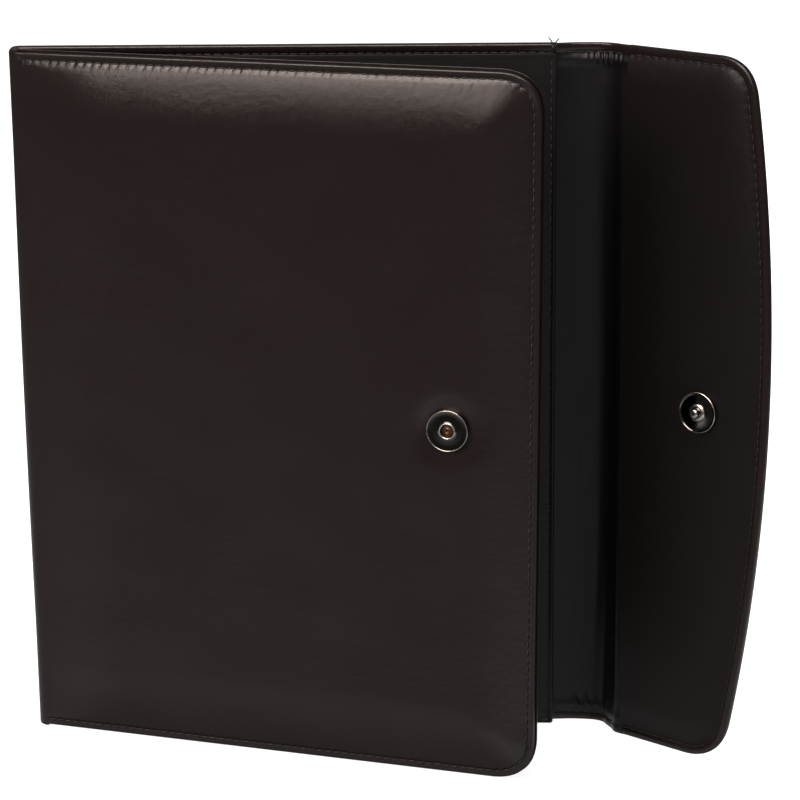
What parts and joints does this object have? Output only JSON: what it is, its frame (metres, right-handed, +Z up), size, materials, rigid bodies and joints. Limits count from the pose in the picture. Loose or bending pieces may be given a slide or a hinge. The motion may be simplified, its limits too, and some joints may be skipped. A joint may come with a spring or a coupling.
{
  "type": "leather document case",
  "caption": "Padded leather document case with a folding spine, a lined back, a soft gusset and a magnetic flap, standing half open to take A4 papers.",
  "frame": {"origin": "under the middle of the standing case, on the surface it stands on", "axes": "+X from the spine to the flap along the back cover, +Y from the front cover towards the back, +Z up"},
  "size_m": [0.3338, 0.0796, 0.32],
  "materials": {
    "outer_leather": "smooth black-brown split leather with a fine grain and a soft sheen",
    "lining_leather": "smooth thin lining leather, a little duller than the outside",
    "soft_leather": "soft thin leather with fine upright creases",
    "dark_chrome": "polished black nickel plate",
    "rivet_metal": "dull coppery rivet head"
  },
  "bodies": {
    "root": {"front_cover": "outer_leather", "spine": "outer_leather", "back_cover": "outer_leather", "inner_panel": "lining_leather", "gusset": "soft_leather", "flap": "outer_leather", "flap_lining": "lining_leather", "snap_socket": "dark_chrome", "snap_rivet": "rivet_metal", "snap_stud": "dark_chrome"}
  },
  "joints": []
}
